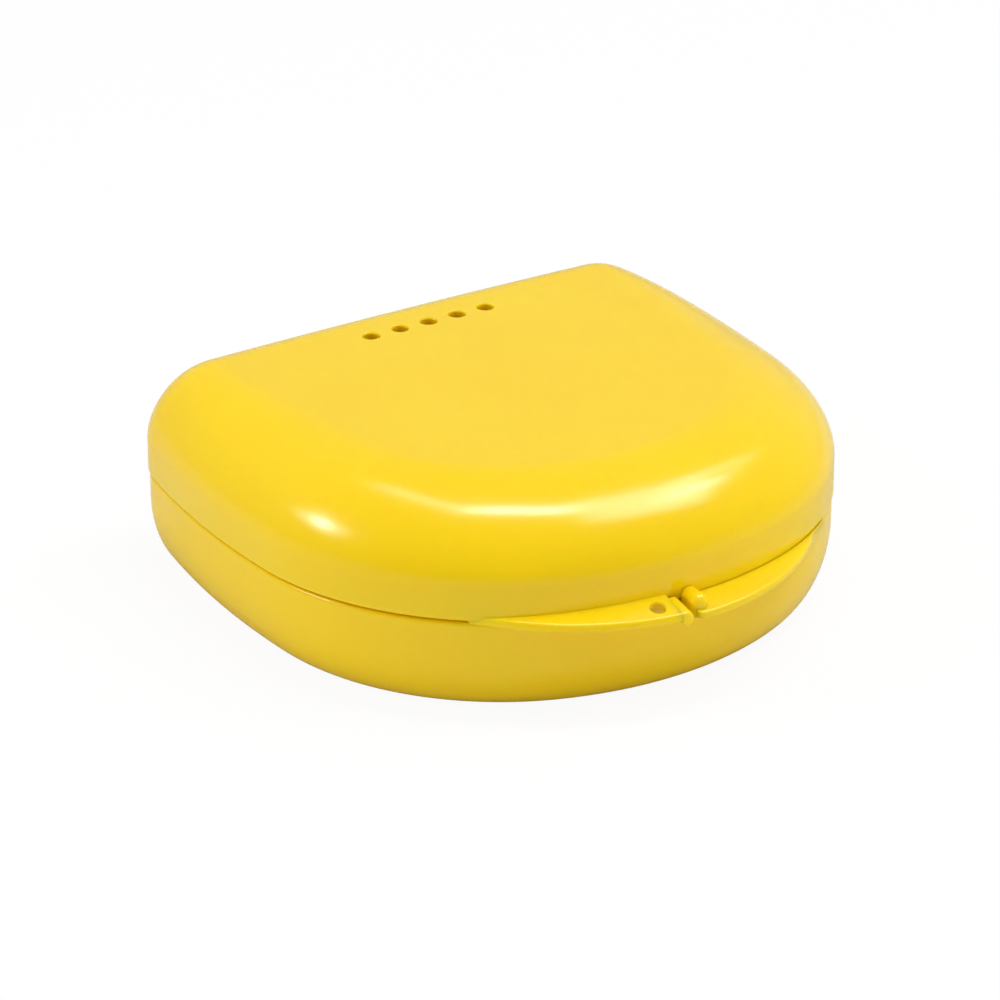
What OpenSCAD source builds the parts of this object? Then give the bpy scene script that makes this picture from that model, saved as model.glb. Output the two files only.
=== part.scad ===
// Retainer case: a D-shaped tray and a domed lid that swings on a pin at the back.
// Sizes are in millimetres. The case stands on z = 0, its front faces -Y and x = 0 is its middle.

/* [Case] */
// Width of the lid
case_w = 80; // [76:0.5:88]
// Depth of the shells, from the front wall to the back wall
case_d = 72.6; // [70:0.1:77]
// Height of the closed case
case_h = 28.05; // [27:0.05:33]
// Height of the parting plane between the base and the lid
base_h = 13.1; // [12.5:0.05:14.5]
// Thickness of the shells' walls
wall = 2; // [1.7:0.05:2.4]

/* [Outline] */
// Radius of the back corners
corner_r = 9.8; // [8.5:0.1:13]
// Radius of the round cheeks at the front
cheek_r = 36.4; // [34:0.1:39]

/* [Rounding] */
// How far the lid's top rounding reaches in from the front wall
lid_round_in = 13.3; // [10:0.1:16]
// Height of the lid's top rounding
lid_round_h = 9.85; // [6:0.05:10.5]
// Power of the lid's rounding: 1 makes a quarter of an ellipse, more makes it flatter
lid_round_power = 1.15; // [1:0.05:1.3]
// Height of the lid's crown, from the walls to the middle of its top
lid_crown = 0.4; // [0.1:0.05:1.2]
// How far the base's bottom rounding reaches in
base_round_in = 5.3; // [4:0.1:8]
// Height of the base's bottom rounding
base_round_h = 9.5; // [5:0.1:10.5]

/* [Rim] */
// Open gap between the lid's rim and the base's rim
rim_gap = 0.4; // [0.2:0.05:0.7]
// How far the base's wall stands in from the lid's
base_step = 0.2; // [0.1:0.05:0.4]
// Bevel along both rims
rim_bevel = 0.2; // [0.1:0.05:0.35]
// Thickness of the lid's skirt, which laps over the base's lip
skirt_t = 0.9; // [0.7:0.05:1.1]
// Height of the lip above the base's rim
lip_h = 2.2; // [1.2:0.1:2.6]
// Clearance between the lip and the lid
lap_clear = 0.25; // [0.15:0.05:0.4]

/* [Vents] */
// Diameter of a vent
vent_d = 2.15; // [1:0.05:3]
// Distance from vent to vent
vent_pitch = 4.3; // [3.4:0.05:6]
// Number of vents
vent_count = 5; // [1:1:7]
// Distance of the row of vents from the back wall
vent_back = 13.3; // [13:0.1:30]

/* [Thumb tabs] */
// How far the tabs stand out from the front wall
tab_reach = 4; // [3.6:0.1:4.6]
// Distance from the middle of the case to a tab's tip
tab_half_w = 26; // [23:0.1:26.4]
// Thickness of the tabs, from their top straight down to their underside
tab_t = 1; // [0.85:0.05:1.2]
// Height of the lid tab's top above the parting plane, at the middle of the front wall
lid_tab_rise = 1.34; // [1.25:0.01:1.6]
// Slope of the lid's tab, down towards its outer edge
lid_tab_slope = 15.6; // [12:0.1:17]
// Distance from the front wall back to the axis of the lid tab's slope
lid_slope_r = 34.8; // [33:0.1:37]
// Radius of the lid tab's outer edge
lid_tab_r = 32.8; // [32:0.05:33.5]
// Draft of the lid tab's outer edge, which stands out further at its foot
lid_tab_draft = 12; // [5:1:20]
// Height of the base tab's top above the parting plane, at the middle of the front wall
base_tab_rise = 0.57; // [0.5:0.01:0.7]
// Slope of the base's tab
base_tab_slope = 11.5; // [10:0.1:13]
// Distance from the front wall back to the axis of the base tab's slope
base_slope_r = 44.3; // [42:0.1:47]
// Radius of the base tab's outer edge
base_tab_r = 31.2; // [30.8:0.05:32]
// Draft of the base tab's outer edge
base_tab_draft = 3; // [1:1:8]
// Clearance between the base's tab and the lid's wall
tab_clear = 0.2; // [0.15:0.05:0.4]
// Diameter of the cord hole in the lid's tab
cord_hole_d = 2; // [1.2:0.1:2.1]
// Distance of the cord hole from the middle of the latch's slit
cord_hole_side = 4.07; // [3.9:0.01:8]
// Distance of the cord hole from the front wall
cord_hole_out = 1.53; // [1.4:0.01:2]

/* [Latch] */
// Place of the middle of the slit between the nose and the bead
latch_x = -1.65; // [-3:0.05:1]
// Width of the slit
latch_slit = 0.48; // [0.4:0.02:0.8]
// Radius of the nose on the lid's tab
nose_r = 0.9; // [0.8:0.05:1]
// Slope of the nose, down towards its end
nose_slope = 12.5; // [11:0.5:15]
// Depth of the nose's flat top below the top of the lid's tab, at the nose's back
nose_drop = 0.24; // [0.2:0.01:0.5]
// Gap between the nose and the lid's wall
nose_back_gap = 0.3; // [0.2:0.1:1]
// Distance from the nose's end to the lid tab's outer edge
nose_setback = 0.1; // [0.05:0.05:0.5]
// Radius of the bead on the base's tab
bead_r = 1.15; // [1:0.05:1.2]
// How far the sides of the bead's post stand inside the bead's
post_inset = 0.05; // [0.03:0.01:0.1]
// Height of the bead above the parting plane
bead_rise = 1.65; // [1.4:0.05:1.9]
// Distance from the bead's end to the tabs' outer edge
bead_setback = 0.6; // [0.5:0.1:1]

/* [Hinge] */
// Length of the hinge
hinge_w = 38; // [30:0.5:46]
// Number of knuckles, the outer ones on the base
knuckle_count = 5; // [3:2:7]
// Gap between knuckles
knuckle_gap = 0.3; // [0.2:0.05:0.5]
// Radius of the knuckles
barrel_r = 2.4; // [2:0.05:3]
// Clearance between the knuckles and the other shell's wall
barrel_clear = 0.35; // [0.25:0.05:0.6]
// Radius of the hinge pin
pin_r = 0.9; // [0.7:0.05:1.2]
// Clearance of the pin in the base's knuckles
pin_hold = 0.01; // [0.01:0.005:0.03]
// Clearance of the pin in the lid's knuckles
pin_run = 0.06; // [0.04:0.01:0.1]

/* [Hidden] */
$fn = 64;
plastic = [0.99, 0.81, 0.1];
steel = [0.76, 0.77, 0.79];

// The outline is one smooth run of arcs over the back, a corner, a side, a cheek and the front.
// A turn is the direction of the wall's normal where two arcs meet: 0 at the back, 180 at the front.
back_turn = 0.3;
corner_turn = 79.8;
side_turn = 94.08;
cheek_turn = 159;
turns = [0, back_turn, corner_turn, side_turn, cheek_turn, 180];
arc_steps = [2, 10, 7, 12, 4];

// Radii of the back, side and front arcs that close the outline at the case's width and depth
half_w = case_w / 2;
half_d = case_d / 2;
corner_x = corner_r * (sin(corner_turn) - sin(back_turn));
corner_y = corner_r * (cos(back_turn) - cos(corner_turn));
cheek_x = cheek_r * (sin(side_turn) - sin(cheek_turn));
cheek_y = cheek_r * (cos(side_turn) - cos(cheek_turn));
back_share = tan(back_turn / 2);
front_share = 1 / tan(cheek_turn / 2);
side_y = case_d - corner_y - cheek_y - back_share * (half_w - corner_x) - front_share * (half_w - cheek_x);
side_r = side_y / (cos(corner_turn) - cos(side_turn)
    - back_share * (1 - sin(corner_turn)) - front_share * (1 - sin(side_turn)));
back_r = (half_w - corner_x - side_r * (1 - sin(corner_turn))) / sin(back_turn);
front_r = (half_w - cheek_x - side_r * (1 - sin(side_turn))) / sin(cheek_turn);
arc_radii = [back_r, corner_r, side_r, cheek_r, front_r];

// Directions of the normals at the outline's points, once around
half_turns = [
    for (k = [0 : len(arc_steps) - 1])
        for (i = [0 : arc_steps[k] - 1])
            turns[k] + (turns[k + 1] - turns[k]) * i / arc_steps[k]
];
all_turns = concat(half_turns, [180], [for (i = [len(half_turns) - 1 : -1 : 1]) 360 - half_turns[i]]);

// Angles along a quarter of rounding, from the wall to the flat
round_steps = 9;
round_angles = [for (i = [0 : round_steps]) 90 * i / round_steps];

// Rounding of the lid at the back, which keeps a small corner on the flat top
top_corner_r = 0.3;
lid_round_back = corner_r - top_corner_r;

// Scales of the rings that carry the lid's crown to the middle of its top
crown_scales = [0.12, 0.4, 0.7];

// Rims and lip
lid_rim_z = base_h + rim_gap / 2;
base_rim_z = base_h - rim_gap / 2;
lip_top_z = base_rim_z + lip_h;
lid_step_z = lip_top_z + lap_clear;
lip_out = skirt_t + lap_clear;

// Thumb tabs and latch
front_y = -half_d;
tab_front_y = front_y - tab_reach;
latch_overlap = 0.7;
nose_x = latch_x - latch_slit / 2 - nose_r;
nose_back_y = front_y - nose_back_gap;
lid_tab_end = nose_x - latch_overlap * nose_r;
bead_x = latch_x + latch_slit / 2 + bead_r;
bead_y = tab_front_y + bead_setback + bead_r;
bead_z = base_h + bead_rise - bead_r;
post_r = bead_r - post_inset;
base_tab_end = bead_x - latch_overlap * bead_r;
base_foot_z = tab_height(base_tab_rise, base_tab_slope, tab_reach) - tab_t;

// Hinge
hinge_y = half_d + barrel_r + barrel_clear;
knuckle_w = (hinge_w - (knuckle_count - 1) * knuckle_gap) / knuckle_count;
web_cut = 0.7 * barrel_r;
web_root = barrel_r + 0.8;

function clip(v, low, high) = max(low, min(v, high));
function sum(list) = list * [for (v = list) 1];

// Point of the outline's right half where the wall's normal has direction f
function half_point(f) = [
    sum([for (k = [0 : 4]) arc_radii[k] * (sin(clip(f, turns[k], turns[k + 1])) - sin(turns[k]))]),
    half_d - sum([for (k = [0 : 4]) arc_radii[k] * (cos(turns[k]) - cos(clip(f, turns[k], turns[k + 1])))])
];

// Point at a distance inside the outline, for any direction
function wall_point(f, inset) =
    let (p = half_point(f > 180 ? 360 - f : f))
    [(f > 180 ? -p.x : p.x) - inset * sin(f), p.y - inset * cos(f)];

// Reach of the lid's rounding: it grows along the sides, from the back corners to the front
function lid_reach(f) =
    let (g = f > 180 ? 360 - f : f)
    let (t = clip((g - corner_turn) / (side_turn - corner_turn), 0, 1))
    lid_round_back + (lid_round_in - lid_round_back) * t * t * (3 - 2 * t);

// Share of the way along the lid's rounding, for a sine or cosine
function round_share(s) = pow(s, lid_round_power);

// Drop of the crowned lid below its highest point
function crown_drop(p) = lid_crown * (pow(p.x / half_w, 2) + pow(p.y / half_d, 2));

// Height of the top of a tab at a distance out from the front wall
function tab_height(rise, slope, out) = base_h + rise - out * tan(slope);

// Rings of points around the shells, at a depth under the outer skin
function level_ring(inset, z) = [for (f = all_turns) [each wall_point(f, inset), z]];
function lid_ring(depth, a) = [
    for (f = all_turns)
        let (reach = lid_reach(f), p = wall_point(f, reach - (reach - depth) * round_share(cos(a))))
        [each p, case_h - lid_round_h + (lid_round_h - depth) * round_share(sin(a)) - crown_drop(p)]
];
function crown_ring(depth, scale) = [
    for (f = all_turns)
        let (p = scale * wall_point(f, lid_reach(f)))
        [each p, case_h - depth - crown_drop(p)]
];
function base_ring(depth, a) = [
    for (f = all_turns)
        [
            each wall_point(f, base_step + base_round_in - (base_round_in - depth) * cos(a)),
            base_round_h - (base_round_h - depth) * sin(a)
        ]
];

// Closed skin through rings of points: the first ring is capped upwards and the last downwards
module loft(rings) {
    n = len(rings[0]);
    end = (len(rings) - 1) * n;
    polyhedron(
        points = [for (ring = rings) each ring],
        faces = concat(
            [[for (j = [0 : n - 1]) j]],
            [
                for (i = [0 : len(rings) - 2])
                    for (j = [0 : n - 1])
                        let (a = i * n + j, b = i * n + (j + 1) % n)
                        each [[b, a, a + n], [b, a + n, b + n]]
            ],
            [[for (j = [n - 1 : -1 : 0]) end + j]]
        )
    );
}

// Upright block with the outline of the case, moved in by a distance
module outline_block(inset, z_low, z_high) {
    translate([0, 0, z_low])
        linear_extrude(z_high - z_low)
            polygon([for (f = all_turns) wall_point(f, inset)]);
}

// Tray with a floor, a bevelled rim and the lip that the lid laps over
module base_tray() {
    color(plastic)
        loft(concat(
            [for (a = round_angles) base_ring(wall, 90 - a)],
            [
                level_ring(base_step + wall, lip_top_z),
                level_ring(lip_out + rim_bevel, lip_top_z),
                level_ring(lip_out, lip_top_z - rim_bevel),
                level_ring(lip_out, base_rim_z),
                level_ring(base_step + rim_bevel, base_rim_z),
                level_ring(base_step, base_rim_z - rim_bevel)
            ],
            [for (a = round_angles) base_ring(0, a)]
        ));
}

// Dome with a bevelled rim, a thin skirt and a row of vents
module lid_dome() {
    color(plastic)
        difference() {
            loft(concat(
                [for (scale = crown_scales) crown_ring(0, scale)],
                [for (a = round_angles) lid_ring(0, 90 - a)],
                [
                    level_ring(0, lid_rim_z + rim_bevel),
                    level_ring(rim_bevel, lid_rim_z),
                    level_ring(skirt_t, lid_rim_z),
                    level_ring(skirt_t, lid_step_z),
                    level_ring(wall, lid_step_z)
                ],
                [for (a = round_angles) lid_ring(wall, a)],
                [for (i = [len(crown_scales) - 1 : -1 : 0]) crown_ring(wall, crown_scales[i])]
            ));
            for (i = [0 : vent_count - 1])
                translate([(i - (vent_count - 1) / 2) * vent_pitch, half_d - vent_back, case_h - 2 * wall])
                    cylinder(h = 3 * wall, d = vent_d);
        }
}

// Tapered round block inside the outer edge of a tab
module tab_edge(edge_r, draft) {
    taper = base_h * tan(draft);
    translate([0, tab_front_y + edge_r, 0])
        cylinder(h = 2 * base_h, r1 = edge_r + taper, r2 = edge_r - taper, $fn = 128);
}

// Upright block in front of the case, between two places across it
module front_block(x_low, x_high) {
    translate([x_low, tab_front_y - wall, 0])
        cube([x_high - x_low, half_d, case_h]);
}

// Sloping ring that a tab is cut from
module tab_ring(rise, slope, slope_r) {
    outs = [-wall, tab_reach + tab_t];
    translate([0, front_y + slope_r, 0])
        rotate_extrude($fn = 128)
            polygon(concat(
                [for (out = outs) [slope_r + out, tab_height(rise, slope, out)]],
                [for (i = [1, 0]) [slope_r + outs[i], tab_height(rise, slope, outs[i]) - tab_t]]
            ));
}

// Nose of the latch: a round bar with a flat top, along the end of the lid's tab
module nose() {
    intersection() {
        translate([nose_x, nose_back_y, tab_height(lid_tab_rise, lid_tab_slope, nose_back_gap) - nose_drop])
            rotate([90 + nose_slope, 0, 0])
                linear_extrude(2 * tab_reach)
                    translate([0, -nose_r]) {
                        circle(nose_r);
                        translate([-nose_r, 0])
                            square(nose_r);
                    }
        translate([0, nose_setback, 0])
            tab_edge(lid_tab_r, lid_tab_draft);
    }
}

// Left thumb tab with the cord hole and the nose
module lid_tab() {
    color(plastic)
        difference() {
            union() {
                intersection() {
                    tab_ring(lid_tab_rise, lid_tab_slope, lid_slope_r);
                    tab_edge(lid_tab_r, lid_tab_draft);
                    front_block(-tab_half_w, lid_tab_end);
                }
                nose();
            }
            outline_block(0, 0, case_h);
            translate([latch_x - cord_hole_side, front_y - cord_hole_out, base_h - tab_t])
                cylinder(h = 4 * tab_t, d = cord_hole_d);
        }
}

// Bead of the latch: a level round bar, whose end goes down into the base's tab as a half-round post
module bead() {
    translate([bead_x, bead_y, bead_z])
        rotate([-90, 0, 0])
            rotate_extrude()
                polygon(concat(
                    [[0, tab_reach]],
                    [[bead_r, tab_reach]],
                    [for (a = round_angles) bead_r * [cos(a), -sin(a)]]
                ));
    translate([bead_x, bead_y, base_foot_z])
        linear_extrude(bead_z - base_foot_z) {
            circle(post_r);
            translate([-post_r, 0])
                square([2 * post_r, tab_reach]);
        }
}

// Right thumb tab with the bead, rooted in the base's wall and clear of the lid's
module base_tab() {
    color(plastic)
        difference() {
            union() {
                intersection() {
                    tab_ring(base_tab_rise, base_tab_slope, base_slope_r);
                    tab_edge(base_tab_r, base_tab_draft);
                    front_block(base_tab_end, tab_half_w);
                }
                bead();
            }
            outline_block(base_step, 0, base_rim_z);
            outline_block(-tab_clear, base_rim_z, case_h);
        }
}

// Knuckle of the hinge with a web to its shell's wall: side is 1 for the lid and -1 for the base
module knuckle(i, side, bore_r) {
    translate([-hinge_w / 2 + i * (knuckle_w + knuckle_gap), hinge_y, base_h])
        rotate([90, 0, 90])
            linear_extrude(knuckle_w)
                difference() {
                    union() {
                        circle(barrel_r);
                        polygon([
                            [0, side * rim_gap / 2],
                            [0, side * web_cut],
                            [half_d - wall - hinge_y, side * web_root],
                            [half_d - wall - hinge_y, side * rim_gap / 2]
                        ]);
                    }
                    circle(bore_r);
                }
}

module base_knuckles() {
    color(plastic)
        difference() {
            for (i = [0 : 2 : knuckle_count - 1])
                knuckle(i, -1, pin_r + pin_hold);
            outline_block(base_step, 0, base_h);
        }
}

module lid_knuckles() {
    color(plastic)
        difference() {
            for (i = [1 : 2 : knuckle_count - 1])
                knuckle(i, 1, pin_r + pin_run);
            outline_block(0, base_h, case_h);
        }
}

module hinge_pin() {
    color(steel)
        translate([-hinge_w / 2, hinge_y, base_h])
            rotate([0, 90, 0])
                cylinder(h = hinge_w, r = pin_r);
}

base_tray();
base_tab();
base_knuckles();
hinge_pin();
lid_dome();
lid_tab();
lid_knuckles();
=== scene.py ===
"""Looks of the retainer case: smooth glossy shells, tabs, hinge and pin that ride on the CAD bodies."""

import math
from collections import namedtuple

import bmesh
import bpy
from mathutils import Matrix, Vector


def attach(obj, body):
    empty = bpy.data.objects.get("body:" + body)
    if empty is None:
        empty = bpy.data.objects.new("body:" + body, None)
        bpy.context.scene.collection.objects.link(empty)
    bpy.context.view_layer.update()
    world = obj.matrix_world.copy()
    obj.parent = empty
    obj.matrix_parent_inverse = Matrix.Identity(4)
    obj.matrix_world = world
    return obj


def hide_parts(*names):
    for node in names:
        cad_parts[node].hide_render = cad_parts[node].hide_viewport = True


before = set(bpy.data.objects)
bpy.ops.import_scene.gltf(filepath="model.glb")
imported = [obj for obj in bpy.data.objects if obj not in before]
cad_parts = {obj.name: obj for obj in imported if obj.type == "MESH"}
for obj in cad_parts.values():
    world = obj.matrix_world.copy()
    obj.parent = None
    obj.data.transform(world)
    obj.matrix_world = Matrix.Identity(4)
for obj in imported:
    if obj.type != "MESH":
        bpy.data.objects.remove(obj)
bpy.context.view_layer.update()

MM = 0.001

# Shells, in millimetres, as in the CAD source
CASE_W = 80.0
CASE_D = 72.6
CASE_H = 28.04
BASE_H = 13.1
WALL = 2.0
CORNER_R = 9.8
CHEEK_R = 36.4
LID_ROUND_IN = 13.3
LID_ROUND_H = 9.84
LID_ROUND_POWER = 1.15
LID_CROWN = 0.4
TOP_CORNER_R = 0.3
BASE_ROUND_IN = 5.3
BASE_ROUND_H = 9.5

# Rims and lip
RIM_GAP = 0.4
BASE_STEP = 0.2
RIM_SOFT = 0.2
BASE_RIM_SOFT = 0.55
SKIRT_T = 0.9
LIP_H = 2.2
LAP_CLEAR = 0.25
RIM_LEAD = 1.0

# Vents
VENT_D = 2.15
VENT_PITCH = 4.3
VENT_COUNT = 5
VENT_BACK = 13.3
VENT_FLARE = 0.3

# Thumb tabs: height of the top, its slope and the slope's axis, and radius and draft of the outer edge
Tab = namedtuple("Tab", "rise slope slope_r edge_r draft")
LID_TAB = Tab(1.34, 15.6, 34.8, 32.8, 12.0)
BASE_TAB = Tab(0.57, 11.5, 44.3, 31.2, 3.0)
TAB_REACH = 3.98
TAB_HALF_W = 26.0
TAB_T = 1.0
TAB_EDGE = 0.35
TAB_EDGE_SHARE = 0.45
TAB_END_EDGE = 0.15
TAB_TIP = 0.1
TAB_STEPS = 90
TAB_SPACING = 1.6
LID_TAB_CORNER = 1.0
BASE_TAB_CORNER = 0.8
LID_TAB_SINK = 0.5
BASE_TAB_SINK = 0.4
BASE_TAB_LEDGE = 0.05
TAB_CLEAR = 0.14
CORD_HOLE_D = 2.0
CORD_HOLE_SIDE = 4.07
CORD_HOLE_OUT = 1.53
CORD_HOLE_FLARE = 0.2

# Latch
LATCH_X = -1.65
LATCH_SLIT = 0.48
LATCH_OVERLAP = 0.7
NOSE_R = 0.9
NOSE_SLOPE = 12.5
NOSE_DROP = 0.24
NOSE_BACK_GAP = 0.3
NOSE_SETBACK = 0.1
NOSE_EDGE = 0.25
BEAD_R = 1.15
BEAD_RISE = 1.65
BEAD_SETBACK = 0.6
BEAD_EDGE = 0.2
BEAD_LAST_TURN = 89.5

# Hinge
HINGE_W = 38.0
KNUCKLE_COUNT = 5
KNUCKLE_GAP = 0.3
BARREL_R = 2.39
BARREL_CLEAR = 0.35
PIN_R = 0.9
BORE_R = 0.94
BARREL_EDGE = 0.2
BORE_EDGE = 0.1
PIN_EDGE = 0.15
WEB_EDGE = 0.15
WEB_FOOT = 1.2
WEB_TOP = 0.7 * BARREL_R
WEB_RISE = 0.8
WEB_SINK = 1.0
WEB_BORE_GAP = 0.35

# Camera that was fitted to the photograph: turn, height, aim, distance and focal length
CAMERA_TURN = -32.759
CAMERA_RISE = 25.385
CAMERA_AIM = (-3.16, 1.17, 12.0)
CAMERA_DISTANCE = 698.75
CAMERA_LENS = 199.52
CAMERA_SENSOR = 36.0

# Studio lights: name, place, size, direction of the long side, brightness, whether they show as highlights
LIGHT_AIM = (0, 0, 15)
LIGHTS = [
    ("bar_core", (22, -39, 600), (230, 40), (0.81, -0.59, 0), 30.0),
    ("bar_tail", (-95, 150, 600), (280, 50), (0.05, -1, 0), 5.0),
    ("top_box", (285, -150, 600), (330, 240), (1, 0, 0), 5.9),
    ("low_streak", (450, -125, 600), (215, 20), (0.98, 0.2, 0), 25.0),
    ("high_streak", (528, 8, 600), (260, 15), (0.985, 0.17, 0), 12.0),
    ("spot_core", (-481, 210, 358), (85, 60), (0.57, 0.78, 0.27), 26.0),
    ("spot_glow", (-497, 215, 368), (240, 160), (0.57, 0.78, 0.27), 3.2),
    ("front_fill", (-350, -700, 75), (500, 130), (1, -0.5, 0), 4.15, False),
    ("left_fill", (-800, 50, 75), (500, 130), (0, 1, 0), 9.0, False),
    ("right_fill", (600, -700, 75), (500, 130), (0.7, 0.7, 0), 10.5, False),
]
WORLD_FAR_SIDE = (0.54, 0.84, 0)
WORLD_NEAR = 0.1
WORLD_FAR = 0.53

# Tones of the plastic and the pin, and the floor
YELLOW_TONES = ((0.965, 0.642, 0.0030, 1), (0.985, 0.662, 0.0042, 1))
STEEL_TONES = ((0.50, 0.51, 0.53, 1), (0.64, 0.65, 0.67, 1))
WHITE = (1, 1, 1, 1)
FLOOR_GREY = (0.6, 0.6, 0.6, 1)
FLOOR_GLOW = 1.04
FLOOR_GLOW_SHARE = 0.9
FLOOR_HALF_W = 3000

# Normal directions where the outline's arcs meet, from the back (0) over the side to the front (180)
TURNS = [0.0, 0.3, 79.8, 94.08, 159.0, 180.0]
ARC_STEPS = [10, 26, 12, 44, 22]

# Meshes: edges that stay sharp, corners, flat ends, and how far a cutter stands past a surface
SHARP_ANGLE = 20.0
MITRE_LIMIT = 0.3
FLAT_END = 0.03
CUTTER_PAST = 0.5
CUTTER_WIDER = 0.3


def sin(degrees):
    return math.sin(math.radians(degrees))


def cos(degrees):
    return math.cos(math.radians(degrees))


def tan(degrees):
    return math.tan(math.radians(degrees))


def clip(value, low, high):
    return max(low, min(value, high))


def quarter(steps):
    """Angles from 0 to 90 degrees."""
    return [90 * i / steps for i in range(steps + 1)]


def arc_radii():
    """Radii of the outline's arcs, which close it at the case's width and depth."""
    back, corner, side, cheek = TURNS[1:5]
    half_w = CASE_W / 2
    corner_x = CORNER_R * (sin(corner) - sin(back))
    corner_y = CORNER_R * (cos(back) - cos(corner))
    cheek_x = CHEEK_R * (sin(side) - sin(cheek))
    cheek_y = CHEEK_R * (cos(side) - cos(cheek))
    back_share = tan(back / 2)
    front_share = 1 / tan(cheek / 2)
    side_y = CASE_D - corner_y - cheek_y - back_share * (half_w - corner_x)
    side_y -= front_share * (half_w - cheek_x)
    side_share = cos(corner) - cos(side) - back_share * (1 - sin(corner))
    side_r = side_y / (side_share - front_share * (1 - sin(side)))
    back_r = (half_w - corner_x - side_r * (1 - sin(corner))) / sin(back)
    front_r = (half_w - cheek_x - side_r * (1 - sin(side))) / sin(cheek)
    return [back_r, CORNER_R, side_r, CHEEK_R, front_r]


RADII = arc_radii()
FRONT_Y = -CASE_D / 2
TAB_FRONT_Y = FRONT_Y - TAB_REACH
HINGE_Y = CASE_D / 2 + BARREL_R + BARREL_CLEAR


def half_turns():
    """Normal directions of the outline's points from the back to the front."""
    turns = []
    for start, end, steps in zip(TURNS, TURNS[1:], ARC_STEPS):
        turns += [start + (end - start) * i / steps for i in range(steps)]
    return turns + [TURNS[-1]]


def all_turns():
    """Normal directions once around the outline."""
    half = half_turns()
    return half + [360 - f for f in reversed(half[1:-1])]


def wall_point(f, inset):
    """Point at a distance inside the outline, where the wall's normal has direction f."""
    g = 360 - f if f > 180 else f
    x, y = 0.0, CASE_D / 2
    for r, start, end in zip(RADII, TURNS, TURNS[1:]):
        stop = clip(g, start, end)
        x += r * (sin(stop) - sin(start))
        y -= r * (cos(start) - cos(stop))
    x = -x if f > 180 else x
    return x - inset * sin(f), y - inset * cos(f)


def lid_reach(f):
    """Reach of the lid's rounding: it grows along the sides, from the back corners to the front."""
    g = 360 - f if f > 180 else f
    t = clip((g - TURNS[2]) / (TURNS[3] - TURNS[2]), 0, 1)
    back = CORNER_R - TOP_CORNER_R
    return back + (LID_ROUND_IN - back) * t * t * (3 - 2 * t)


def crown_drop(x, y):
    return LID_CROWN * ((2 * x / CASE_W) ** 2 + (2 * y / CASE_D) ** 2)


def level_ring(inset, z):
    return [(*wall_point(f, inset), z) for f in all_turns()]


def lid_ring(depth, a):
    """Ring on the lid's rounding, at a depth under its skin; a is 0 at the wall and 90 at the top."""
    ring = []
    for f in all_turns():
        reach = lid_reach(f)
        x, y = wall_point(f, reach - (reach - depth) * cos(a) ** LID_ROUND_POWER)
        rise = (LID_ROUND_H - depth) * sin(a) ** LID_ROUND_POWER
        ring.append((x, y, CASE_H - LID_ROUND_H + rise - crown_drop(x, y)))
    return ring


def crown_ring(depth, scale):
    """Ring on the lid's crowned top, as a scaled copy of the top's edge."""
    ring = []
    for f in all_turns():
        x, y = (scale * v for v in wall_point(f, lid_reach(f)))
        ring.append((x, y, CASE_H - depth - crown_drop(x, y)))
    return ring


def base_ring(depth, a):
    """Ring on the base's rounding, at a depth under its skin; a is 0 at the wall and 90 at the bottom."""
    inset = BASE_STEP + BASE_ROUND_IN - (BASE_ROUND_IN - depth) * cos(a)
    return level_ring(inset, BASE_ROUND_H - (BASE_ROUND_H - depth) * sin(a))


def soft_path(points, radii, steps=6):
    """Path of points with each inner corner rounded by its radius."""
    path = [points[0]]
    for before, corner, after, radius in zip(points, points[1:], points[2:], radii):
        c = Vector(corner)
        start = c + (Vector(before) - c).normalized() * radius
        end = c + (Vector(after) - c).normalized() * radius
        for i in range(steps + 1):
            t = i / steps
            path.append(tuple(start * (1 - t) ** 2 + c * 2 * t * (1 - t) + end * t * t))
    return path + [points[-1]]


def new_object(name, points, faces):
    """Object of a mesh, given in millimetres, with outward normals, smooth except at sharp edges."""
    mesh = bpy.data.meshes.new(name)
    mesh.from_pydata([Vector(p) * MM for p in points], [], faces)
    shell = bmesh.new()
    shell.from_mesh(mesh)
    bmesh.ops.remove_doubles(shell, verts=shell.verts, dist=1e-7)
    bmesh.ops.recalc_face_normals(shell, faces=shell.faces)
    shell.to_mesh(mesh)
    shell.free()
    made = bpy.data.objects.new(name, mesh)
    bpy.context.scene.collection.objects.link(made)
    smooth(mesh)
    return made


def smooth(mesh):
    mesh.shade_smooth()
    mesh.set_sharp_from_angle(angle=math.radians(SHARP_ANGLE))


def loft(rings, start=None, end=None):
    """Points and faces of a skin through closed rings; each end closes on a point, or on a flat face."""
    n = len(rings[0])
    points = [p for ring in rings for p in ring]
    faces = []
    for i in range(len(rings) - 1):
        for j in range(n):
            a, b = i * n + j, i * n + (j + 1) % n
            faces.append((a, b, b + n, a + n))
    last = (len(rings) - 1) * n
    for pole, first in ((start, 0), (end, last)):
        if pole is None:
            faces.append(tuple(range(first, first + n)))
            continue
        points.append(pole)
        faces += [(first + j, first + (j + 1) % n, len(points) - 1) for j in range(n)]
    return points, faces


def merge(*parts):
    """One list of points and one of faces from several."""
    points, faces = [], []
    for more_points, more_faces in parts:
        faces += [tuple(i + len(points) for i in face) for face in more_faces]
        points += more_points
    return points, faces


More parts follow.
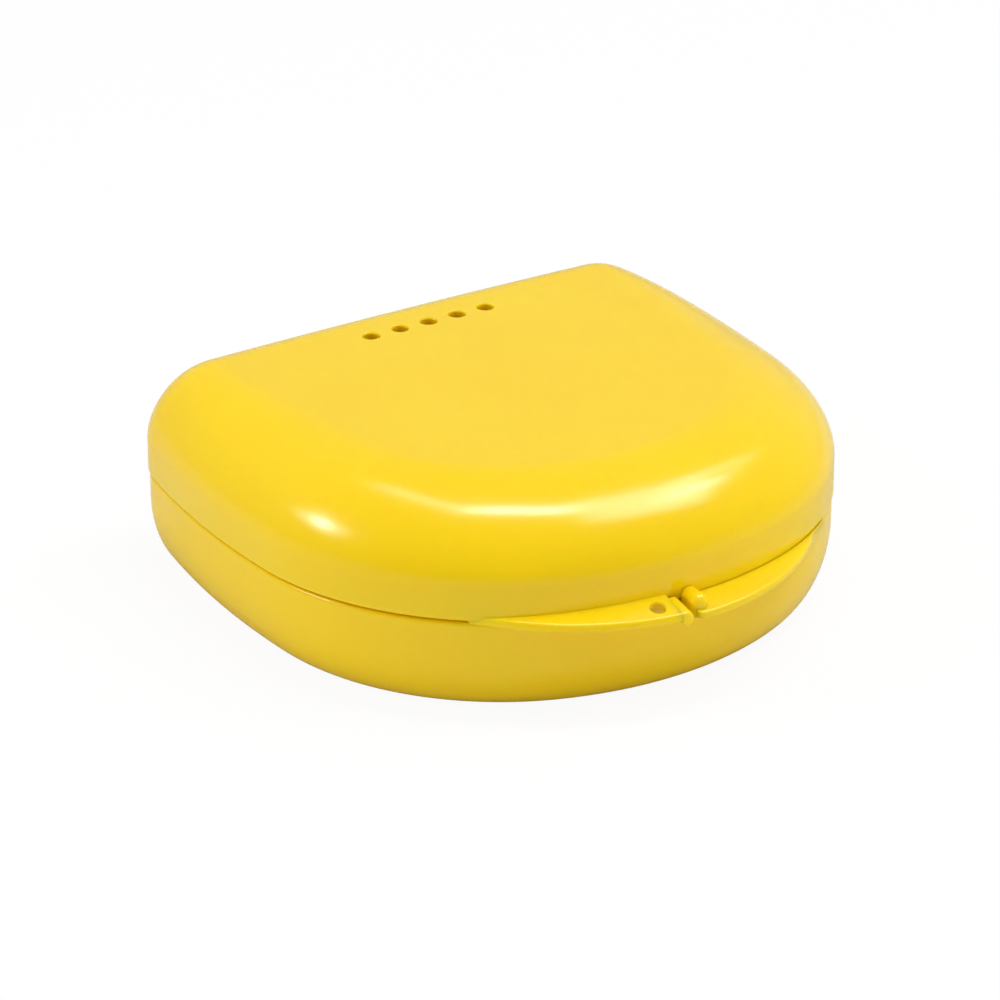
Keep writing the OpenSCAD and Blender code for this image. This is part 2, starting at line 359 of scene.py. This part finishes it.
def plate(loop, low, high, edge, place, steps=6):
    """Plate with rounded edges over a closed loop of (u, v) points; place turns (u, v, w) into a point."""
    loop = [Vector(p) for p in loop]
    n = len(loop)
    area = sum(loop[i].x * loop[(i + 1) % n].y - loop[(i + 1) % n].x * loop[i].y for i in range(n))
    loop = loop if area > 0 else loop[::-1]
    inward = []
    for i in range(n):
        before = (loop[i] - loop[i - 1]).normalized()
        after = (loop[(i + 1) % n] - loop[i]).normalized()
        m1, m2 = Vector((-before.y, before.x)), Vector((-after.y, after.x))
        inward.append((m1 + m2) / max(1 + m1.dot(m2), MITRE_LIMIT))
    bend = [(edge * (1 - sin(a)), edge * (1 - cos(a))) for a in quarter(steps)]
    levels = [(edge + FLAT_END, low)] + [(inset, low + rise) for inset, rise in bend]
    levels += [(inset, high - rise) for inset, rise in reversed(bend)] + [(edge + FLAT_END, high)]
    rings = [[place(*(p + m * inset), w) for p, m in zip(loop, inward)] for inset, w in levels]
    return loft(rings)


def turned_rings(profile, place, steps=64):
    """Rings of (radius, height) points turned about an axis."""
    turns = [360 * j / steps for j in range(steps)]
    return [[place(r * cos(t), r * sin(t), h) for t in turns] for r, h in profile]


def lathe(profile, place):
    """Solid of (radius, height) points turned about an axis; it starts and ends on the axis."""
    rings = turned_rings(profile[1:-1], place)
    return loft(rings, place(0, 0, profile[0][1]), place(0, 0, profile[-1][1]))


def tube(profile, place):
    """Ring-shaped solid of a closed (radius, height) profile turned about an axis."""
    rings = turned_rings(profile, place)
    n, m = len(rings[0]), len(rings)
    points = [p for ring in rings for p in ring]
    faces = []
    for i in range(m):
        for j in range(n):
            k = (i + 1) % m
            faces.append((i * n + j, i * n + (j + 1) % n, k * n + (j + 1) % n, k * n + j))
    return points, faces


def cut(target, cutters):
    """Takes the cutters' solids out of the target's mesh."""
    tool = new_object("cutter", *merge(*cutters))
    knife = target.modifiers.new("cut", "BOOLEAN")
    knife.operation = "DIFFERENCE"
    knife.solver = "EXACT"
    knife.object = tool
    shown = target.evaluated_get(bpy.context.evaluated_depsgraph_get())
    mesh = bpy.data.meshes.new_from_object(shown)
    target.modifiers.clear()
    target.data = mesh
    bpy.data.objects.remove(tool)
    smooth(mesh)


def hole_cutter(x, y, radius, low, high, flare, slope=0):
    """Round cutter with its edges flared out at the surfaces, which may slope down to the front."""
    slopes = [15 * i for i in range(5)]
    wide = radius + flare + CUTTER_WIDER
    profile = [(0, low - CUTTER_PAST), (wide, low - CUTTER_PAST)]
    profile += [(radius + flare * (1 - cos(s)), low + flare * (1 - sin(s))) for s in reversed(slopes)]
    profile += [(radius + flare * (1 - cos(s)), high - flare * (1 - sin(s))) for s in slopes]
    profile += [(wide, high + CUTTER_PAST), (0, high + CUTTER_PAST)]
    return lathe(profile, lambda u, v, w: (x + u, y + v, w + v * tan(slope)))


def build_lid():
    """Dome with a soft rim, a skirt, a crowned top and flared vents."""
    rim = BASE_H + RIM_GAP / 2
    step = BASE_H - RIM_GAP / 2 + LIP_H + LAP_CLEAR
    fine = quarter(36)
    scales = [0.04, 0.12, 0.2, 0.3, 0.4, 0.5, 0.6, 0.7, 0.8, 0.88, 0.95]
    outer = [(0, rim + 2 * RIM_LEAD), (0, rim), (SKIRT_T, rim)]
    inner = [(SKIRT_T, step), (WALL, step), (WALL, step + RIM_LEAD)]
    path = soft_path(outer + inner, [RIM_SOFT] * 4)
    rings = [crown_ring(0, s) for s in scales]
    rings += [lid_ring(0, 90 - a) for a in fine]
    rings += [level_ring(inset, z) for inset, z in path]
    rings += [lid_ring(WALL, a) for a in fine]
    rings += [crown_ring(WALL, s) for s in reversed(scales)]
    lid = new_object("lid_shell", *loft(rings, (0, 0, CASE_H), (0, 0, CASE_H - WALL)))
    vents = []
    for i in range(VENT_COUNT):
        x, y = (i - (VENT_COUNT - 1) / 2) * VENT_PITCH, CASE_D / 2 - VENT_BACK
        top = CASE_H - crown_drop(x, y)
        vents.append(hole_cutter(x, y, VENT_D / 2, top - WALL, top, VENT_FLARE))
    cut(lid, vents)
    return lid


def build_base():
    """Tray with a soft rim and the lip that the lid laps over."""
    rim = BASE_H - RIM_GAP / 2
    lip_top = rim + LIP_H
    lip_out = SKIRT_T + LAP_CLEAR
    lip_in = BASE_STEP + WALL
    fine = quarter(30)
    inner = [(lip_in, lip_top - RIM_LEAD), (lip_in, lip_top), (lip_out, lip_top)]
    outer = [(lip_out, rim), (BASE_STEP, rim), (BASE_STEP, rim - RIM_LEAD)]
    path = soft_path(inner + outer, [RIM_SOFT] * 3 + [BASE_RIM_SOFT])
    scales = [0.3, 0.6, 0.9]
    floor = base_ring(WALL, 90)
    bottom = base_ring(0, 90)
    rings = [[(x * s, y * s, z) for x, y, z in floor] for s in scales]
    rings += [base_ring(WALL, 90 - a) for a in fine]
    rings += [level_ring(inset, z) for inset, z in path]
    rings += [base_ring(0, a) for a in fine]
    rings += [[(x * s, y * s, z) for x, y, z in bottom] for s in reversed(scales)]
    return new_object("base_shell", *loft(rings, (0, 0, WALL), (0, 0, 0)))


def front_wall(x, inset):
    """Where the front wall stands, front to back, at a place across the case and a distance inside it."""
    low, high = TURNS[3], 180.0
    for _ in range(40):
        turn = (low + high) / 2
        if wall_point(turn, inset)[0] > abs(x):
            low = turn
        else:
            high = turn
    return wall_point(low, inset)[1]


def tab_top(tab, x, y):
    """Height of the top of a tab, which slopes down away from the slope's axis."""
    out = math.hypot(x, y - FRONT_Y - tab.slope_r) - tab.slope_r
    return BASE_H + tab.rise - out * tan(tab.slope)


def tab_edge(tab, x, depth):
    """Where a tab's drafted outer edge stands, front to back, at a depth below the tab's top."""
    y = FRONT_Y
    for _ in range(6):
        r = tab.edge_r - (tab_top(tab, x, y) - depth - BASE_H) * tan(tab.draft)
        y = TAB_FRONT_Y + tab.edge_r - math.sqrt(r * r - x * x)
    return y


def tab_section(tab, x, insets, shifts, trim):
    """Ring of points around a tab at a place across the case, from its root over its outer edge and back.

    The upper and the lower root stand at two distances inside the wall. The shifts move the outer edge
    in and the root out, and trim makes the whole ring thinner.
    """
    upper = front_wall(x, insets[0]) - shifts[1]
    lower = front_wall(x, insets[1]) - shifts[1]
    edge = min(tab_edge(tab, x, trim) + shifts[0] + trim, upper - TAB_TIP)
    toe = min(tab_edge(tab, x, TAB_T - trim) + shifts[0] + trim, upper - TAB_TIP)
    tops = [(y, tab_top(tab, x, y) - trim) for y in (upper, edge)]
    feet = [(y, tab_top(tab, x, y) - TAB_T + trim) for y in (toe, lower)]
    soft = min(TAB_EDGE, TAB_EDGE_SHARE * (upper - edge))
    path = soft_path(tops + feet, [soft, soft], 8)
    if insets[1] > insets[0]:
        ledge = BASE_H - RIM_GAP / 2 - BASE_TAB_LEDGE
        path += [(lower, ledge), (upper, ledge)]
    return [(x, y, z) for y, z in path]


def corner_shift(distance, corner):
    """How far a rounded corner lies behind its edge, at a distance from the corner's start."""
    near = clip(1 - distance / corner, 0, 1) if corner else 0
    return corner * (1 - math.sqrt(1 - near ** 2))


def tab_strip(tab, start, side, insets, corners):
    """Tab from its end at the latch to its tip: side is 1 for the right tab and -1 for the left."""
    rest = TAB_HALF_W - side * start - TAB_END_EDGE
    bend = [15 * i for i in range(6)]
    places = [(TAB_END_EDGE * (1 - cos(a)), TAB_END_EDGE * (1 - sin(a))) for a in bend]
    shares = [(i / TAB_STEPS) ** TAB_SPACING for i in range(TAB_STEPS + 1)]
    places += [(TAB_END_EDGE + rest * share, 0) for share in shares]
    rings = []
    for along, trim in places:
        shifts = [corner_shift(along, corner) for corner in corners]
        rings.append(tab_section(tab, start + side * along, insets, shifts, trim))
    return loft(rings)


def nose_part(x):
    """Nose of the latch: a round bar with a flat top and an upright, drafted end."""
    back_y = FRONT_Y - NOSE_BACK_GAP
    back_z = tab_top(LID_TAB, 0, back_y) - NOSE_DROP
    length = back_y - tab_edge(LID_TAB, x, 0) - NOSE_SETBACK
    draft = tan(LID_TAB.draft) / length
    turns = [90 - 270 * i / 54 for i in range(55)]
    profile = [(NOSE_R * cos(a), NOSE_R * sin(a) - NOSE_R) for a in turns] + [(-NOSE_R, 0)]

    def place(u, v, w):
        return x + u, back_y - w * (1 - v * draft), back_z - w * tan(NOSE_SLOPE) + v

    return plate(profile, 0, length, NOSE_EDGE, place)


def build_lid_tab():
    """Left thumb tab with the cord hole and the nose of the latch."""
    nose_x = LATCH_X - LATCH_SLIT / 2 - NOSE_R
    start = nose_x - LATCH_OVERLAP * NOSE_R
    tab = tab_strip(LID_TAB, start, -1, (LID_TAB_SINK, LID_TAB_SINK), (0, LID_TAB_CORNER))
    drilled = new_object("drilled", *tab)
    x, y = LATCH_X - CORD_HOLE_SIDE, FRONT_Y - CORD_HOLE_OUT
    top = tab_top(LID_TAB, x, y)
    hole = hole_cutter(x, y, CORD_HOLE_D / 2, top - TAB_T, top, CORD_HOLE_FLARE, LID_TAB.slope)
    cut(drilled, [hole])
    points = [tuple(v.co / MM) for v in drilled.data.vertices]
    faces = [tuple(p.vertices) for p in drilled.data.polygons]
    bpy.data.objects.remove(drilled)
    return new_object("lid_thumb_tab", *merge((points, faces), nose_part(nose_x)))


def bead_arch(x, y, radius, low, middle):
    """Upright arch of points across the bead: half a circle on two legs."""
    turns = [180 * i / 32 for i in range(33)]
    arch = [(x + radius * cos(a), y, middle + radius * sin(a)) for a in turns]
    return [(x + radius, y, low)] + arch + [(x - radius, y, low)]


def build_base_tab():
    """Right thumb tab with the bead of the latch."""
    bead_x = LATCH_X + LATCH_SLIT / 2 + BEAD_R
    start = bead_x - LATCH_OVERLAP * BEAD_R
    insets = (-TAB_CLEAR, BASE_STEP + BASE_TAB_SINK)
    tab = tab_strip(BASE_TAB, start, 1, insets, (BASE_TAB_CORNER, 0))
    low = tab_top(BASE_TAB, 0, TAB_FRONT_Y) - TAB_T
    middle = BASE_H + BEAD_RISE - BEAD_R
    round_y = TAB_FRONT_Y + BEAD_SETBACK + BEAD_R
    back_y = front_wall(BEAD_R, -TAB_CLEAR)
    places = [(back_y - BEAD_EDGE * (1 - cos(a)), BEAD_R - BEAD_EDGE * (1 - sin(a))) for a in quarter(6)]
    dome = quarter(20)[:-1] + [BEAD_LAST_TURN]
    places += [(round_y - BEAD_R * sin(a), BEAD_R * cos(a)) for a in dome]
    rings = [bead_arch(bead_x, y, radius, low, middle) for y, radius in places]
    return new_object("base_thumb_tab", *merge(tab, loft(rings)))


def hinge_place(x):
    """Turns places around and along the hinge's axis into points; the axis starts at x."""
    return lambda u, v, w: (x + w, HINGE_Y + u, BASE_H + v)


def bar_profile(radius, edge, length):
    """Outer profile of a round bar with softened ends."""
    rounds = quarter(5)
    near = [(radius - edge + edge * sin(a), edge * (1 - cos(a))) for a in rounds]
    far = [(radius - edge + edge * cos(a), length - edge * (1 - sin(a))) for a in rounds]
    return near + far


def knuckle_parts(first, side):
    """Barrels with webs to the wall: side is 1 for the lid and -1 for the base."""
    width = (HINGE_W - (KNUCKLE_COUNT - 1) * KNUCKLE_GAP) / KNUCKLE_COUNT
    mouth = BORE_R + BORE_EDGE
    bore = [(mouth, width), (BORE_R, width - BORE_EDGE), (BORE_R, BORE_EDGE), (mouth, 0)]
    barrel = bar_profile(BARREL_R, BARREL_EDGE, width) + bore
    root = -BARREL_R - BARREL_CLEAR - WEB_SINK
    gap = side * RIM_GAP / 2
    web = [(0, side * WEB_FOOT), (0, side * WEB_TOP), (root, side * (BARREL_R + WEB_RISE))]
    web += [(root, gap), (-BORE_R - WEB_BORE_GAP, gap)]
    parts = []
    for i in range(first, KNUCKLE_COUNT, 2):
        place = hinge_place(-HINGE_W / 2 + i * (width + KNUCKLE_GAP))
        parts += [tube(barrel, place), plate(web, 0, width, WEB_EDGE, place)]
    return parts


def build_pin():
    """Steel pin with softened ends."""
    profile = [(0, 0)] + bar_profile(PIN_R, PIN_EDGE, HINGE_W) + [(0, HINGE_W)]
    return new_object("pin_wire", *lathe(profile, hinge_place(-HINGE_W / 2)))


def node(tree, kind, inputs=None, **settings):
    """New node with its settings and its unlinked input values."""
    made = tree.nodes.new(kind)
    for name, value in settings.items():
        setattr(made, name, value)
    for name, value in (inputs or {}).items():
        made.inputs[name].default_value = value
    return made


def empty_material(name):
    material = bpy.data.materials.new(name)
    material.use_nodes = True
    material.node_tree.nodes.clear()
    return material, material.node_tree


def noise(tree, coords, scale, detail):
    texture = node(tree, "ShaderNodeTexNoise", {"Scale": scale, "Detail": detail})
    tree.links.new(coords, texture.inputs["Vector"])
    return texture.outputs["Fac"]


def spread(tree, value, low, high):
    """Value from 0.3 to 0.7 mapped to a range."""
    limits = {"From Min": 0.3, "From Max": 0.7, "To Min": low, "To Max": high}
    mapped = node(tree, "ShaderNodeMapRange", limits)
    tree.links.new(value, mapped.inputs["Value"])
    return mapped.outputs["Result"]


def mottled(tree, value, tones):
    """Colour that runs between two tones with a noise value."""
    tint = node(tree, "ShaderNodeMix", {"A": tones[0], "B": tones[1]}, data_type="RGBA")
    tree.links.new(spread(tree, value, low=0, high=1), tint.inputs["Factor"])
    return tint.outputs["Result"]


def bumped(tree, height, strength, distance):
    """Bump node over a height value."""
    bump = node(tree, "ShaderNodeBump", {"Strength": strength, "Distance": distance})
    tree.links.new(height, bump.inputs["Height"])
    return bump


def plastic():
    """Glossy yellow plastic with faint clouding, uneven gloss and a moulded skin."""
    material, tree = empty_material("yellow_plastic")
    coords = node(tree, "ShaderNodeTexCoord").outputs["Object"]
    out = node(tree, "ShaderNodeOutputMaterial")
    skin = node(tree, "ShaderNodeBsdfPrincipled", {
        "IOR": 1.5,
        "Subsurface Weight": 0.5,
        "Subsurface Radius": (1.0, 0.7, 0.1),
        "Subsurface Scale": 0.0015,
    })
    clouds = noise(tree, coords, scale=55, detail=2)
    gloss = spread(tree, noise(tree, coords, scale=140, detail=3), low=0.17, high=0.21)
    fine = bumped(tree, noise(tree, coords, scale=1500, detail=2), strength=0.035, distance=0.0002)
    wavy = bumped(tree, noise(tree, coords, scale=90, detail=1), strength=0.05, distance=0.001)
    tree.links.new(mottled(tree, clouds, YELLOW_TONES), skin.inputs["Base Color"])
    tree.links.new(gloss, skin.inputs["Roughness"])
    tree.links.new(fine.outputs["Normal"], wavy.inputs["Normal"])
    tree.links.new(wavy.outputs["Normal"], skin.inputs["Normal"])
    tree.links.new(skin.outputs["BSDF"], out.inputs["Surface"])
    return material


def steel():
    """Drawn steel wire with fine lines along its length."""
    material, tree = empty_material("pin_steel")
    coords = node(tree, "ShaderNodeTexCoord").outputs["Object"]
    stretch = node(tree, "ShaderNodeMapping", {"Scale": (60, 9000, 9000)})
    tree.links.new(coords, stretch.inputs["Vector"])
    lines = noise(tree, stretch.outputs["Vector"], scale=1, detail=4)
    bump = bumped(tree, lines, strength=0.08, distance=0.0001)
    out = node(tree, "ShaderNodeOutputMaterial")
    metal = node(tree, "ShaderNodeBsdfPrincipled", {"Metallic": 1.0})
    tree.links.new(mottled(tree, lines, STEEL_TONES), metal.inputs["Base Color"])
    tree.links.new(spread(tree, lines, low=0.22, high=0.38), metal.inputs["Roughness"])
    tree.links.new(bump.outputs["Normal"], metal.inputs["Normal"])
    tree.links.new(metal.outputs["BSDF"], out.inputs["Surface"])
    return material


def paper():
    """White floor: the camera sees it glow, so that it stays white with only a faint shadow."""
    material, tree = empty_material("white_floor")
    out = node(tree, "ShaderNodeOutputMaterial")
    matte = node(tree, "ShaderNodeBsdfDiffuse", {"Color": FLOOR_GREY})
    glow = node(tree, "ShaderNodeEmission", {"Color": WHITE, "Strength": FLOOR_GLOW})
    rays = node(tree, "ShaderNodeLightPath")
    share = node(tree, "ShaderNodeMath", {1: FLOOR_GLOW_SHARE}, operation="MULTIPLY")
    mix = node(tree, "ShaderNodeMixShader")
    tree.links.new(rays.outputs["Is Camera Ray"], share.inputs[0])
    tree.links.new(share.outputs["Value"], mix.inputs["Fac"])
    tree.links.new(matte.outputs["BSDF"], mix.inputs[1])
    tree.links.new(glow.outputs["Emission"], mix.inputs[2])
    tree.links.new(mix.outputs["Shader"], out.inputs["Surface"])
    return material


def area_light(name, place, size, along, glow, mirrored=True):
    """Soft box with its long side along a direction, aimed at the case; glow is its brightness."""
    data = bpy.data.lights.new(name, "AREA")
    data.shape = "RECTANGLE"
    data.size, data.size_y = (s * MM for s in size)
    data.energy = glow * math.pi * data.size * data.size_y
    lamp = bpy.data.objects.new(name, data)
    bpy.context.scene.collection.objects.link(lamp)
    lamp.location = Vector(place) * MM
    back = (Vector(place) - Vector(LIGHT_AIM)).normalized()
    across = back.cross(Vector(along)).normalized()
    lamp.rotation_mode = "QUATERNION"
    lamp.rotation_quaternion = Matrix((across.cross(back), across, back)).transposed().to_quaternion()
    lamp.visible_glossy = mirrored


def studio_world():
    """Surroundings that brighten from the camera's side to the far side."""
    world = bpy.data.worlds.new("studio")
    world.use_nodes = True
    tree = world.node_tree
    facing = node(tree, "ShaderNodeVectorMath", {1: WORLD_FAR_SIDE}, operation="DOT_PRODUCT")
    limits = {"From Min": -1, "From Max": 1, "To Min": WORLD_NEAR, "To Max": WORLD_FAR}
    glow = node(tree, "ShaderNodeMapRange", limits)
    tree.links.new(node(tree, "ShaderNodeTexCoord").outputs["Generated"], facing.inputs[0])
    tree.links.new(facing.outputs["Value"], glow.inputs["Value"])
    sky = tree.nodes["Background"]
    sky.inputs["Color"].default_value = WHITE
    tree.links.new(glow.outputs["Result"], sky.inputs["Strength"])
    return world


def build_stage():
    """Floor, surroundings, lights and camera."""
    half = FLOOR_HALF_W
    corners = [(-half, -half, 0), (half, -half, 0), (half, half, 0), (-half, half, 0)]
    floor = new_object("floor", corners, [(0, 1, 2, 3)])
    floor.data.materials.append(paper())

    bpy.context.scene.world = studio_world()
    for light in LIGHTS:
        area_light(*light)

    turn, rise = CAMERA_TURN, CAMERA_RISE
    back = Vector((sin(turn) * cos(rise), -cos(turn) * cos(rise), sin(rise)))
    data = bpy.data.cameras.new("camera")
    data.lens = CAMERA_LENS
    data.sensor_width = CAMERA_SENSOR
    data.clip_start, data.clip_end = 0.05, 10.0
    camera = bpy.data.objects.new("camera", data)
    bpy.context.scene.collection.objects.link(camera)
    camera.location = (Vector(CAMERA_AIM) + back * CAMERA_DISTANCE) * MM
    camera.rotation_mode = "QUATERNION"
    camera.rotation_quaternion = (-back).to_track_quat("-Z", "Y")
    bpy.context.scene.camera = camera
    bpy.context.scene.view_settings.view_transform = "Standard"


yellow = plastic()
pieces = [
    (build_base(), "base", "base_tray"),
    (build_base_tab(), "base", "base_tab"),
    (new_object("base_hinge_knuckles", *merge(*knuckle_parts(0, -1))), "base", "base_knuckles"),
    (build_lid(), "lid", "lid_dome"),
    (build_lid_tab(), "lid", "lid_tab"),
    (new_object("lid_hinge_knuckles", *merge(*knuckle_parts(1, 1))), "lid", "lid_knuckles"),
]
for piece, body, cad_node in pieces:
    piece.data.materials.append(yellow)
    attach(piece, body)
    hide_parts(cad_node)

pin = build_pin()
pin.data.materials.append(steel())
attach(pin, "base")
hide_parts("hinge_pin")

build_stage()
